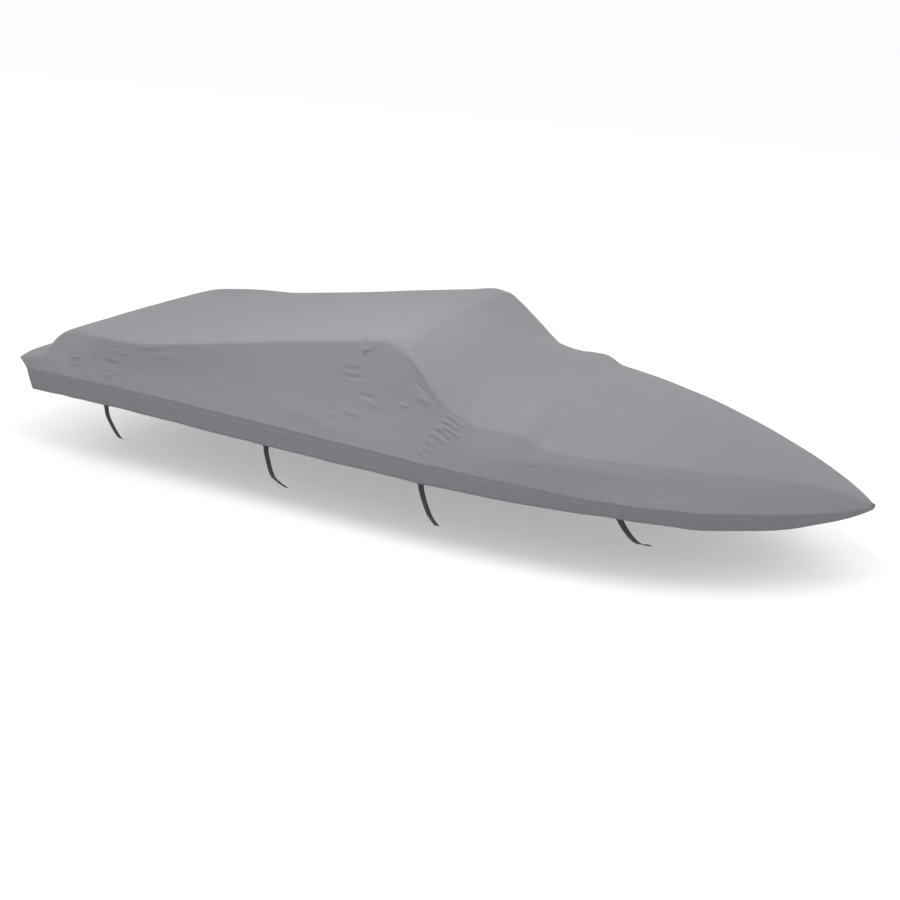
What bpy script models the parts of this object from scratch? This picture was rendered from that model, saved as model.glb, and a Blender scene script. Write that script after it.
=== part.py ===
"""Fitted trailering cover for an 18 ft runabout, hung as it lies over the boat.

A body cloth runs from the transom over the windshield to the bow and down to the rub rail.
A skirt band is sewn round its edge and ends in the hem.  Eight webbing tie-downs hang from the hem.
The boat is not part of the model: the cover is an open shell.

Boat measures: x runs forward from the transom, y to port, z up from the rub rail at the stern.
Everything hangs from one empty, which puts the world's origin under the top of the cover.
"""
import math

import bmesh
import bpy
from mathutils import Vector

# ---- cloth and webbing, metres ----
CLOTH = 0.003
SEAM_GAP = 0.0003
WEBBING_WIDTH = 0.038
WEBBING_THICK = 0.002
HEAD_WIDTH = 0.045
HEAD_THICK = 0.004
HEAD_ABOVE_HEM = 0.040
HEAD_BELOW_HEM = 0.012

# ---- overall sizes, metres ----
LENGTH = 5.64
CORNER_RADIUS = 0.03
TRANSOM_LEAN = 0.050
STERN_EASE = 0.20
MOUNT_X = 2.60

# ---- the lines of the cover, stern to bow; columns: x, half-width, height ----
RAIL = (
    (0.00, 1.118, 0.000),
    (0.80, 1.112, -0.003),
    (1.60, 1.132, -0.012),
    (2.40, 1.152, -0.027),
    (2.90, 1.160, -0.040),
    (3.40, 1.140, -0.055),
    (3.80, 1.106, -0.068),
    (4.20, 1.030, -0.083),
    (4.60, 0.883, -0.100),
    (5.00, 0.634, -0.118),
    (5.30, 0.403, -0.132),
    (5.50, 0.200, -0.143),
    (5.60, 0.070, -0.148),
    (5.64, 0.000, -0.151),
)
SHOULDER = (
    (0.00, 1.108, 0.062),
    (0.30, 1.060, 0.120),
    (0.80, 1.050, 0.130),
    (1.60, 1.055, 0.170),
    (2.40, 1.040, 0.230),
    (2.80, 1.045, 0.240),
    (3.20, 1.100, 0.140),
    (3.34, 1.106, 0.090),
    (3.60, 1.104, 0.088),
    (3.82, 1.080, 0.100),
    (4.00, 1.034, 0.102),
    (4.40, 0.857, 0.086),
    (4.80, 0.642, 0.042),
    (5.00, 0.513, 0.012),
    (5.20, 0.364, -0.018),
    (5.40, 0.214, -0.060),
    (5.60, 0.050, -0.132),
    (5.64, 0.000, -0.151),
)
# One more column here: softness, the share of the two panels beside it that the edge rounds off.
RIDGE = (
    (0.00, 0.940, 0.086, 0.20),
    (0.09, 0.895, 0.116, 0.20),
    (0.20, 0.893, 0.254, 0.12),
    (0.30, 0.908, 0.276, 0.12),
    (0.60, 1.005, 0.298, 0.08),
    (0.85, 1.025, 0.306, 0.06),
    (1.20, 1.022, 0.356, 0.04),
    (2.00, 0.975, 0.499, 0.035),
    (2.55, 0.965, 0.596, 0.035),
    (2.74, 0.972, 0.630, 0.08),
    (2.84, 0.985, 0.623, 0.18),
    (2.93, 1.000, 0.557, 0.16),
    (3.01, 1.016, 0.474, 0.08),
    (3.10, 1.038, 0.388, 0.04),
    (3.19, 1.058, 0.306, 0.05),
    (3.30, 1.045, 0.250, 0.16),
    (3.42, 1.020, 0.246, 0.22),
    (3.62, 1.030, 0.250, 0.20),
    (3.78, 1.034, 0.182, 0.22),
    (4.00, 0.990, 0.162, 0.24),
    (4.40, 0.805, 0.134, 0.28),
    (4.80, 0.582, 0.085, 0.30),
    (5.20, 0.310, 0.016, 0.30),
    (5.40, 0.175, -0.037, 0.30),
    (5.60, 0.042, -0.125, 0.30),
    (5.64, 0.000, -0.151, 0.30),
)
# Columns: x, height on the centreline, fullness of the curve from the ridge up to it.
CROWN = (
    (0.00, 0.092, 2.6),
    (0.09, 0.126, 2.6),
    (0.20, 0.264, 2.6),
    (0.30, 0.288, 2.6),
    (0.85, 0.345, 2.6),
    (1.60, 0.462, 2.6),
    (2.60, 0.640, 2.8),
    (2.80, 0.652, 3.0),
    (2.95, 0.602, 2.8),
    (3.25, 0.460, 2.0),
    (3.60, 0.350, 1.8),
    (4.10, 0.268, 1.8),
    (4.50, 0.190, 1.8),
    (5.00, 0.085, 1.8),
    (5.30, 0.000, 1.8),
    (5.50, -0.068, 1.8),
    (5.60, -0.123, 1.8),
    (5.64, -0.151, 1.8),
)
# Columns: x, how far the hem lies inboard of the rail, how far it lies below it.
HEM = (
    (0.00, 0.030, 0.155),
    (1.60, 0.030, 0.158),
    (2.80, 0.030, 0.142),
    (3.60, 0.030, 0.126),
    (4.20, 0.030, 0.098),
    (4.80, 0.030, 0.116),
    (5.10, 0.028, 0.110),
    (5.40, 0.020, 0.070),
    (5.55, 0.014, 0.044),
    (5.64, 0.010, 0.026),
)

# Stations along the boat; columns: from, to, steps.
STATION_RUNS = (
    (0.00, 0.30, 5),
    (0.30, 0.90, 5),
    (0.90, 2.50, 11),
    (2.50, 2.90, 6),
    (2.90, 3.50, 13),
    (3.50, 3.90, 7),
    (3.90, 5.20, 9),
    (5.20, 5.60, 4),
)
# Steps across the half cover: rail to shoulder, shoulder to ridge, ridge to crown.
PANEL_STEPS = (5, 8, 6)
SHOULDER_SOFTNESS = 0.25
SKIRT_STEPS = 3
# Half the distance, in x and in p, over which a normal is measured.
PROBE = 0.01
# The most that a sharp bend lengthens the step from the outer to the inner face of the cloth.
MITRE_LIMIT = 1.5
SHARP_ANGLE = math.radians(40)

# ---- folds, each a straight run between two places on the cover ----
# A place is x and p, as in section_point.  A minus height is a trough.
STARBOARD = -1
PORT = 1
# Columns: side, x1, p1, x2, p2, half-width, height.
FOLDS = (
    # gathers at the foot of the windshield
    (STARBOARD, 3.20, 1.93, 3.36, 1.92, 0.020, 0.010),
    (STARBOARD, 3.15, 1.62, 3.31, 1.62, 0.020, 0.012),
    (STARBOARD, 3.11, 1.28, 3.30, 1.34, 0.020, 0.013),
    (STARBOARD, 3.07, 0.98, 3.27, 0.92, 0.024, 0.013),
    (STARBOARD, 3.03, 0.55, 3.18, 0.40, 0.034, 0.010),
    (PORT, 3.12, 1.55, 3.32, 1.50, 0.022, 0.011),
    (PORT, 3.08, 1.05, 3.28, 1.00, 0.026, 0.011),
    # the tuck under the windshield's top corner and the slack below it
    (STARBOARD, 2.50, 1.84, 2.63, 1.86, 0.040, -0.012),
    (STARBOARD, 2.40, 1.45, 2.58, 1.47, 0.050, -0.010),
    (STARBOARD, 2.55, 1.10, 2.75, 0.98, 0.050, -0.012),
    (STARBOARD, 2.94, 1.40, 3.08, 1.62, 0.045, 0.010),
    (PORT, 2.45, 1.50, 2.66, 1.20, 0.055, -0.012),
    # drag lines to the rail
    (STARBOARD, 2.05, 0.70, 2.55, 0.12, 0.070, 0.008),
    (STARBOARD, 0.18, 1.50, 0.46, 0.35, 0.070, -0.018),
    (PORT, 0.18, 1.50, 0.46, 0.35, 0.070, -0.016),
    (PORT, 1.30, 1.30, 1.90, 0.50, 0.080, 0.008),
)
# A fold keeps this share of its height at its two ends, and rises over this share of its run.
FOLD_END_HEIGHT = 0.15
FOLD_END = 0.25
# A fold is felt this many half-widths away, and it dies out over this much of p above the rail.
FOLD_REACH = 2.5
RAIL_HOLD = 0.30

# ---- tie-downs, each row of a route: inboard of the hem, forward of its top, below the hem ----
# Columns: name, x where it leaves the hem, route.
TIES = (
    ("1", 0.67, ((0.015, 0.000, 0.087), (0.079, 0.000, 0.210), (0.127, 0.000, 0.278), (0.180, 0.0, 0.309))),
    ("2", 1.96, ((0.012, 0.000, 0.070), (0.076, 0.000, 0.227), (0.160, 0.000, 0.312), (0.257, 0.0, 0.386))),
    ("3", 3.06, ((0.043, 0.000, 0.083), (0.124, 0.000, 0.195), (0.223, 0.000, 0.310), (0.360, 0.0, 0.429))),
    ("4", 4.27, ((0.048, 0.044, 0.082), (0.108, 0.100, 0.163), (0.159, 0.154, 0.216), (0.200, 0.225, 0.236))),
)
TIE_GAP = 0.0005
# The skirt leans inboard, so on the level its wall is a little wider than the cloth.
LEAN_ALLOWANCE = 1.05
TIE_STEPS = 5

GREY_CLOTH = (0.30, 0.30, 0.31, 1.0)
GREY_BAND = (0.19, 0.19, 0.205, 1.0)
BLACK_WEBBING = (0.012, 0.012, 0.013, 1.0)
CLOTH_ROUGHNESS = 0.85
WEBBING_ROUGHNESS = 0.70


def read_line(table, x, column):
    """A smooth value between the rows of a table, with no overshoot past a row."""
    last = len(table) - 1
    i = 0
    while i < last - 1 and x > table[i + 1][0]:
        i += 1

    def slope(k):
        return (table[k + 1][column] - table[k][column]) / (table[k + 1][0] - table[k][0])

    def tangent(k):
        if k == 0:
            return slope(0)
        if k == last:
            return slope(last - 1)
        before, after = slope(k - 1), slope(k)
        if before * after <= 0.0:
            return 0.0
        run_before = table[k][0] - table[k - 1][0]
        run_after = table[k + 1][0] - table[k][0]
        w1, w2 = 2 * run_after + run_before, run_after + 2 * run_before
        return (w1 + w2) / (w1 / before + w2 / after)

    run = table[i + 1][0] - table[i][0]
    t = min(max((x - table[i][0]) / run, 0.0), 1.0)
    low, high = table[i][column], table[i + 1][column]
    m1, m2 = tangent(i) * run, tangent(i + 1) * run
    return (
        low * (1 + 2 * t) * (1 - t) ** 2
        + m1 * t * (1 - t) ** 2
        + high * t * t * (3 - 2 * t)
        + m2 * t * t * (t - 1)
    )


def section_corners(x):
    """Half-width and height of the rail, shoulder, ridge and crown at x."""
    corners = [(read_line(line, x, 1), read_line(line, x, 2)) for line in (RAIL, SHOULDER, RIDGE)]
    return corners + [(0.0, read_line(CROWN, x, 1))]


def panel_point(corners, fullness, p):
    """A point on the unrounded section: p is 0 at the rail, 1 shoulder, 2 ridge, 3 crown."""
    i = min(int(p), 2)
    t = p - i
    (w1, z1), (w2, z2) = corners[i], corners[i + 1]
    if i < 2:
        return (w1 + (w2 - w1) * t, z1 + (z2 - z1) * t)
    return (w1 * (1 - t), z2 - (z2 - z1) * (1 - t) ** fullness)


def section_point(x, p):
    """A point on the section at x with its shoulder and ridge rounded off."""
    corners = section_corners(x)
    fullness = read_line(CROWN, x, 2)
    for corner, softness in ((1, SHOULDER_SOFTNESS), (2, read_line(RIDGE, x, 3))):
        if abs(p - corner) < softness:
            t = (p - corner + softness) / (2 * softness)
            a = panel_point(corners, fullness, corner - softness)
            b = corners[corner]
            c = panel_point(corners, fullness, corner + softness)
            return tuple(
                a[k] * (1 - t) ** 2 + 2 * b[k] * t * (1 - t) + c[k] * t * t for k in (0, 1)
            )
    return panel_point(corners, fullness, p)


def column_places():
    """p and side of every column, starboard rail to port rail."""
    half = []
    for panel, steps in enumerate(PANEL_STEPS):
        half += [panel + k / steps for k in range(steps)]
    starboard = [(p, STARBOARD) for p in half]
    port = [(p, PORT) for p in reversed(half)]
    return starboard + [(3.0, STARBOARD)] + port


def stations():
    """x of every row, stern to just short of the bow tip."""
    xs = []
    for start, end, steps in STATION_RUNS:
        xs += [start + (end - start) * k / steps for k in range(steps)]
    return xs + [STATION_RUNS[-1][1]]


def stern_shift(x, w, z):
    """The rounded corners of the transom move a point forward, and its lean moves it aft."""
    corner_start = SHOULDER[0][1] - CORNER_RADIUS
    into_corner = min(max(w - corner_start, 0.0) / CORNER_RADIUS, 1.0)
    rounding = CORNER_RADIUS * (1 - math.sqrt(1 - into_corner ** 2))
    lean = TRANSOM_LEAN * max(z, 0.0) / SHOULDER[0][2]
    return (rounding - lean) * max(1 - x / STERN_EASE, 0.0)


def cover_point(x, p, side):
    w, z = section_point(x, p)
    return Vector((x + stern_shift(x, w, z), side * w, z))


def outward(x, p, side):
    """Unit normal of the unfolded cover."""
    along = cover_point(x + PROBE, p, side) - cover_point(x - PROBE, p, side)
    low, high = max(p - PROBE, 0.0), min(p + PROBE, 3.0)
    across = cover_point(x, high, side) - cover_point(x, low, side)
    normal = along.cross(across).normalized()
    return normal if side == STARBOARD else -normal


def fold_height(point, side, ends):
    """How far the folds lift the cloth at a point; ends holds each fold's two ends in space."""
    total = 0.0
    for (start, end), fold in zip(ends, FOLDS):
        if fold[0] != side:
            continue
        half_width, height = fold[5], fold[6]
        run = end - start
        t = min(max((point - start).dot(run) / run.length_squared, 0.0), 1.0)
        away = (point - start - run * t).length / half_width
        fade = min(1.0, t / FOLD_END, (1.0 - t) / FOLD_END)
        if away < FOLD_REACH:
            share = FOLD_END_HEIGHT + (1.0 - FOLD_END_HEIGHT) * fade
            total += height * math.exp(-away * away) * share
    return total


def body_grid():
    """Rows of points of the body cloth, without the transom wall and the bow tip."""
    ends = [
        (cover_point(x1, p1, side), cover_point(x2, p2, side)) for side, x1, p1, x2, p2, _, _ in FOLDS
    ]
    grid = []
    for x in stations():
        row = []
        for p, side in column_places():
            point = cover_point(x, p, side)
            height = fold_height(point, side, ends) * min(p / RAIL_HOLD, 1.0)
            row.append(point + outward(x, p, side) * height)
        grid.append(row)
    return grid


def rail_ring(grid):
    """The body's lower edge: up the starboard side, round the bow, back down and across the transom.

    Each point carries its station x.
    """
    xs = stations()
    starboard = [(row[0].copy(), x) for row, x in zip(grid, xs)]
    port = [(row[-1].copy(), x) for row, x in zip(grid, xs)]
    tip = (Vector((LENGTH, 0.0, RAIL[-1][2])), LENGTH)
    transom = [(transom_foot(grid[0][j]), 0.0) for j in reversed(transom_columns())]
    return starboard + [tip] + port[::-1] + transom


def transom_columns():
    """The columns whose edge over the transom stands on a foot: those between the shoulders."""
    return [j for j, (p, _) in enumerate(column_places()) if p > 1.0]


def transom_foot(point):
    """The place on the rail's level under a point of the transom's top edge."""
    return Vector((point.x + TRANSOM_LEAN * point.z / SHOULDER[0][2], point.y, RAIL[0][2]))


def thicken(mesh_object):
    """Close an open sheet into a cloth of even thickness, with level edges."""
    bm = bmesh.new()
    bm.from_mesh(mesh_object.data)
    bm.normal_update()
    outer_faces = list(bm.faces)
    rim_edges = [e for e in bm.edges if e.is_boundary]
    twins = {}
    for v in list(bm.verts):
        shift = -v.normal * CLOTH * min(v.calc_shell_factor(), MITRE_LIMIT)
        if v.is_boundary:
            shift.z = 0.0
            shift = shift.normalized() * CLOTH
        twins[v] = bm.verts.new(v.co + shift)
    for face in outer_faces:
        bm.faces.new([twins[v] for v in reversed(face.verts)])
    for edge in rim_edges:
        loop = edge.link_loops[0]
        a, b = loop.vert, loop.link_loop_next.vert
        bm.faces.new((b, a, twins[a], twins[b]))
    bm.to_mesh(mesh_object.data)
    bm.free()


def make_material(name, colour, roughness):
    material = bpy.data.materials.new(name)
    material.use_nodes = True
    shader = material.node_tree.nodes["Principled BSDF"]
    shader.inputs["Base Color"].default_value = colour
    shader.inputs["Roughness"].default_value = roughness
    shader.inputs["Metallic"].default_value = 0.0
    return material


def make_object(name, points, faces, material, datum):
    mesh = bpy.data.meshes.new(name)
    mesh.from_pydata([tuple(p) for p in points], [], faces)
    mesh.materials.append(material)
    made = bpy.data.objects.new(name, mesh)
    bpy.context.scene.collection.objects.link(made)
    made.parent = datum
    return made


def smooth(made):
    made.data.shade_smooth()
    made.data.set_sharp_from_angle(angle=SHARP_ANGLE)


def make_body(material, datum):
    grid = body_grid()
    rows, columns = len(grid), len(grid[0])
    points = [p for row in grid for p in row]
    faces = []
    for i in range(rows - 1):
        for j in range(columns - 1):
            a = i * columns + j
            faces.append((a, a + columns, a + columns + 1, a + 1))
    tip = len(points)
    points.append(Vector((LENGTH, 0.0, RAIL[-1][2])))
    last = (rows - 1) * columns
    faces += [(last + j, tip, last + j + 1) for j in range(columns - 1)]
    between = transom_columns()
    feet = {j: len(points) + k for k, j in enumerate(between)}
    points += [transom_foot(grid[0][j]) for j in between]
    for j in range(columns - 1):
        below = [feet[min(max(k, between[0]), between[-1])] for k in (j + 1, j)]
        corners = [j, j + 1] + below
        faces.append(tuple(c for k, c in enumerate(corners) if c not in corners[:k]))
    made = make_object("body_cloth", points, faces, material, datum)
    thicken(made)
    smooth(made)
    return grid


def ring_inward(ring, i):
    """Level unit vector from ring point i to the inside of the cover."""
    ahead, behind = ring[(i + 1) % len(ring)][0], ring[i - 1][0]
    along = ahead - behind
    return Vector((-along.y, along.x, 0.0)).normalized()


def skirt_point(ring, i, share):
    """A point on the skirt's outer face below ring point i: share is 0 at the seam, 1 at the hem."""
    point, x = ring[i]
    inset, drop = read_line(HEM, x, 1), read_line(HEM, x, 2)
    down = Vector((0.0, 0.0, -SEAM_GAP - (drop - SEAM_GAP) * share))
    return point + ring_inward(ring, i) * inset * share ** 1.5 + down


def make_skirt(grid, material, datum):
    ring = rail_ring(grid)
    count = len(ring)
    points = []
    for level in range(SKIRT_STEPS + 1):
        points += [skirt_point(ring, i, level / SKIRT_STEPS) for i in range(count)]
    faces = []
    for level in range(SKIRT_STEPS):
        for i in range(count):
            a, b = level * count + i, level * count + (i + 1) % count
            faces.append((a, a + count, b + count, b))
    made = make_object("skirt_band", points, faces, material, datum)
    thicken(made)
    smooth(made)


def hem_place(ring, x, side, share):
    """A place on the skirt's outer face between two ring points, and the hem's direction there."""
    count = len(stations())
    order = range(count) if side == STARBOARD else range(2 * count, count, -1)
    behind = [i for i in order if ring[i][1] <= x][-1]
    ahead = behind - side
    t = (x - ring[behind][1]) / (ring[ahead][1] - ring[behind][1])
    a, b = skirt_point(ring, behind, share), skirt_point(ring, ahead, share)
    return a.lerp(b, t), (b - a).normalized()


def tie_path(ring, x, side, route):
    """The middle line of a tie: up the inside of the skirt, then free below the hem."""
    drop = read_line(HEM, x, 2)
    hem, along = hem_place(ring, x, side, 1.0)
    inward = Vector((along.y, -along.x, 0.0)).normalized() * side
    behind_skirt = inward * (CLOTH + TIE_GAP + HEAD_THICK / 2) * LEAN_ALLOWANCE
    top = hem_place(ring, x, side, 1.0 - HEAD_ABOVE_HEM / drop)[0] + behind_skirt
    exit_point = hem + behind_skirt
    forward = Vector((along.x, along.y, 0.0)).normalized()
    knots = [top, exit_point]
    knots += [exit_point + inward * a + forward * b - Vector((0.0, 0.0, c)) for a, b, c in route]
    path = [top.lerp(exit_point, n / TIE_STEPS) for n in range(TIE_STEPS + 1)]
    for k in range(2, len(knots)):
        before = knots[k - 2]
        after = knots[k + 1] if k + 1 < len(knots) else knots[k] * 2 - knots[k - 1]
        for n in range(1, TIE_STEPS + 1):
            path.append(curve_between(before, knots[k - 1], knots[k], after, n / TIE_STEPS))
    return path, along


def curve_between(a, b, c, d, t):
    """Catmull-Rom curve from b to c."""
    return (
        b * 2 + (c - a) * t + (a * 2 - b * 5 + c * 4 - d) * t ** 2 + (b * 3 - a - c * 3 + d) * t ** 3
    ) * 0.5


def make_tie(name, path, along, material, datum):
    """Flat webbing along a path, with a doubled head where it is sewn behind the hem."""
    head_length = HEAD_ABOVE_HEM + HEAD_BELOW_HEM
    points = []
    walked = 0.0
    for k, point in enumerate(path):
        ahead, behind = path[min(k + 1, len(path) - 1)], path[max(k - 1, 0)]
        run = (ahead - behind).normalized()
        walked += (point - path[max(k - 1, 0)]).length
        in_head = walked < head_length
        half_width = (HEAD_WIDTH if in_head else WEBBING_WIDTH) / 2
        half_thick = (HEAD_THICK if in_head else WEBBING_THICK) / 2
        across = (along - run * along.dot(run)).normalized()
        face = across.cross(run)
        for a, b in ((-1, -1), (1, -1), (1, 1), (-1, 1)):
            points.append(point + across * half_width * a + face * half_thick * b)
    faces = [(0, 1, 2, 3), tuple(len(points) - 4 + k for k in range(4))]
    for k in range(len(path) - 1):
        for c in range(4):
            a, b = 4 * k + c, 4 * k + (c + 1) % 4
            faces.append((a, b, b + 4, a + 4))
    made = make_object(name, points, faces, material, datum)
    bm = bmesh.new()
    bm.from_mesh(made.data)
    bmesh.ops.recalc_face_normals(bm, faces=bm.faces)
    bm.to_mesh(made.data)
    bm.free()


def make_ties(grid, material, datum):
    ring = rail_ring(grid)
    for side, side_name in ((STARBOARD, "starboard"), (PORT, "port")):
        for name, x, route in TIES:
            path, along = tie_path(ring, x, side, route)
            make_tie(f"tie_{side_name}_{name}", path, along, material, datum)


def main():
    for old in list(bpy.data.objects):
        bpy.data.objects.remove(old, do_unlink=True)
    datum = bpy.data.objects.new("rub_rail_datum", None)
    bpy.context.scene.collection.objects.link(datum)
    datum.location = (-MOUNT_X, 0.0, CLOTH - read_line(CROWN, MOUNT_X, 1))
    cloth = make_material("grey_cover_cloth", GREY_CLOTH, CLOTH_ROUGHNESS)
    band = make_material("grey_skirt_cloth", GREY_BAND, CLOTH_ROUGHNESS)
    webbing = make_material("black_webbing", BLACK_WEBBING, WEBBING_ROUGHNESS)
    grid = make_body(cloth, datum)
    make_skirt(grid, band, datum)
    make_ties(grid, webbing, datum)


main()
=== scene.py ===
"""Looks of the fitted runabout cover: fine cloth, skirt and hem, webbing tie-downs and sewing.

Boat measures: x runs forward from the transom, y to port, z up from the rub rail at the stern.
DATUM takes them to the row frame, whose origin lies under the top of the cover.
"""
import functools
import math

import bmesh
import bpy
import numpy as np
from mathutils import Matrix, Vector, noise


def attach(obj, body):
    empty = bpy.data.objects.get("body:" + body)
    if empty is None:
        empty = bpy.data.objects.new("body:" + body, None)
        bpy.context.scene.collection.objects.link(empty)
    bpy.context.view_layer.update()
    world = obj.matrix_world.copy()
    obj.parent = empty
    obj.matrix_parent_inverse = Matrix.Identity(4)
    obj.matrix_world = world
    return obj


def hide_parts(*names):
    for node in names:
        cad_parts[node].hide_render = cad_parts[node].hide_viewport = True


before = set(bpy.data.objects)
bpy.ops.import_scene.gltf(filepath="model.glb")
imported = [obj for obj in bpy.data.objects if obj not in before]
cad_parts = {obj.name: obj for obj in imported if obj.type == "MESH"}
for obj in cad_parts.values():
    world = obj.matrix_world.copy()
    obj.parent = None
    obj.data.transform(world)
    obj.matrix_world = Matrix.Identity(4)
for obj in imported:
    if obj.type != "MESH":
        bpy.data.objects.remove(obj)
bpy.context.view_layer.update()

# ---- cloth and webbing, metres ----
CLOTH = 0.003
SHEET = 0.0012
WEBBING_WIDTH = 0.038
WEBBING_THICK = 0.002
HEAD_WIDTH = 0.045
HEAD_THICK = 0.004
HEAD_ABOVE_HEM = 0.040
HEAD_BELOW_HEM = 0.012

# ---- overall sizes, metres ----
LENGTH = 5.64
CORNER_RADIUS = 0.03
TRANSOM_LEAN = 0.050
STERN_EASE = 0.20
MOUNT_X = 2.60

# ---- the lines of the cover, stern to bow; columns: x, half-width, height ----
RAIL = (
    (0.00, 1.118, 0.000),
    (0.80, 1.112, -0.003),
    (1.60, 1.132, -0.012),
    (2.40, 1.152, -0.027),
    (2.90, 1.160, -0.040),
    (3.40, 1.140, -0.055),
    (3.80, 1.106, -0.068),
    (4.20, 1.030, -0.083),
    (4.60, 0.883, -0.100),
    (5.00, 0.634, -0.118),
    (5.30, 0.403, -0.132),
    (5.50, 0.200, -0.143),
    (5.60, 0.070, -0.148),
    (5.64, 0.000, -0.151),
)
SHOULDER = (
    (0.00, 1.108, 0.062),
    (0.30, 1.060, 0.120),
    (0.80, 1.050, 0.130),
    (1.60, 1.055, 0.170),
    (2.40, 1.040, 0.230),
    (2.80, 1.045, 0.240),
    (3.20, 1.100, 0.140),
    (3.34, 1.106, 0.090),
    (3.60, 1.104, 0.088),
    (3.82, 1.080, 0.100),
    (4.00, 1.034, 0.102),
    (4.40, 0.857, 0.086),
    (4.80, 0.642, 0.042),
    (5.00, 0.513, 0.012),
    (5.20, 0.364, -0.018),
    (5.40, 0.214, -0.060),
    (5.60, 0.050, -0.132),
    (5.64, 0.000, -0.151),
)
# One more column here: softness, the share of the two panels beside it that the edge rounds off.
RIDGE = (
    (0.00, 0.940, 0.086, 0.20),
    (0.09, 0.895, 0.116, 0.20),
    (0.20, 0.893, 0.254, 0.12),
    (0.30, 0.908, 0.276, 0.12),
    (0.60, 1.005, 0.298, 0.08),
    (0.85, 1.025, 0.306, 0.06),
    (1.20, 1.022, 0.356, 0.04),
    (2.00, 0.975, 0.499, 0.035),
    (2.55, 0.965, 0.596, 0.035),
    (2.74, 0.972, 0.630, 0.08),
    (2.84, 0.985, 0.623, 0.18),
    (2.93, 1.000, 0.557, 0.16),
    (3.01, 1.016, 0.474, 0.08),
    (3.10, 1.038, 0.388, 0.04),
    (3.19, 1.058, 0.306, 0.05),
    (3.30, 1.045, 0.250, 0.16),
    (3.42, 1.020, 0.246, 0.22),
    (3.62, 1.030, 0.250, 0.20),
    (3.78, 1.034, 0.182, 0.22),
    (4.00, 0.990, 0.162, 0.24),
    (4.40, 0.805, 0.134, 0.28),
    (4.80, 0.582, 0.085, 0.30),
    (5.20, 0.310, 0.016, 0.30),
    (5.40, 0.175, -0.037, 0.30),
    (5.60, 0.042, -0.125, 0.30),
    (5.64, 0.000, -0.151, 0.30),
)
# Columns: x, height on the centreline, fullness of the curve from the ridge up to it.
CROWN = (
    (0.00, 0.092, 2.6),
    (0.09, 0.126, 2.6),
    (0.20, 0.264, 2.6),
    (0.30, 0.288, 2.6),
    (0.85, 0.345, 2.6),
    (1.60, 0.462, 2.6),
    (2.60, 0.640, 2.8),
    (2.80, 0.652, 3.0),
    (2.95, 0.602, 2.8),
    (3.25, 0.460, 2.0),
    (3.60, 0.350, 1.8),
    (4.10, 0.268, 1.8),
    (4.50, 0.190, 1.8),
    (5.00, 0.085, 1.8),
    (5.30, 0.000, 1.8),
    (5.50, -0.068, 1.8),
    (5.60, -0.123, 1.8),
    (5.64, -0.151, 1.8),
)
# Columns: x, how far the hem lies inboard of the rail, how far it lies below it.
HEM = (
    (0.00, 0.030, 0.155),
    (1.60, 0.030, 0.158),
    (2.80, 0.030, 0.142),
    (3.60, 0.030, 0.126),
    (4.20, 0.030, 0.098),
    (4.80, 0.030, 0.116),
    (5.10, 0.028, 0.110),
    (5.40, 0.020, 0.070),
    (5.55, 0.014, 0.044),
    (5.64, 0.010, 0.026),
)

# Stations along the boat; columns: from, to, steps.
STATION_RUNS = (
    (0.00, 0.30, 24),
    (0.30, 0.90, 34),
    (0.90, 2.30, 34),
    (2.30, 2.90, 44),
    (2.90, 3.42, 62),
    (3.42, 3.90, 26),
    (3.90, 5.20, 24),
    (5.20, 5.60, 12),
)
# Steps across the half cover: rail to shoulder, shoulder to ridge, ridge to crown.
PANEL_STEPS = (28, 44, 18)
SHOULDER_SOFTNESS = 0.25
TRANSOM_LEVELS = 8

# ---- folds, each a run through two or more places on the cover ----
# A place is x and p, as in section_point.  A minus height is a trough.
STARBOARD = -1
PORT = 1
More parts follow.
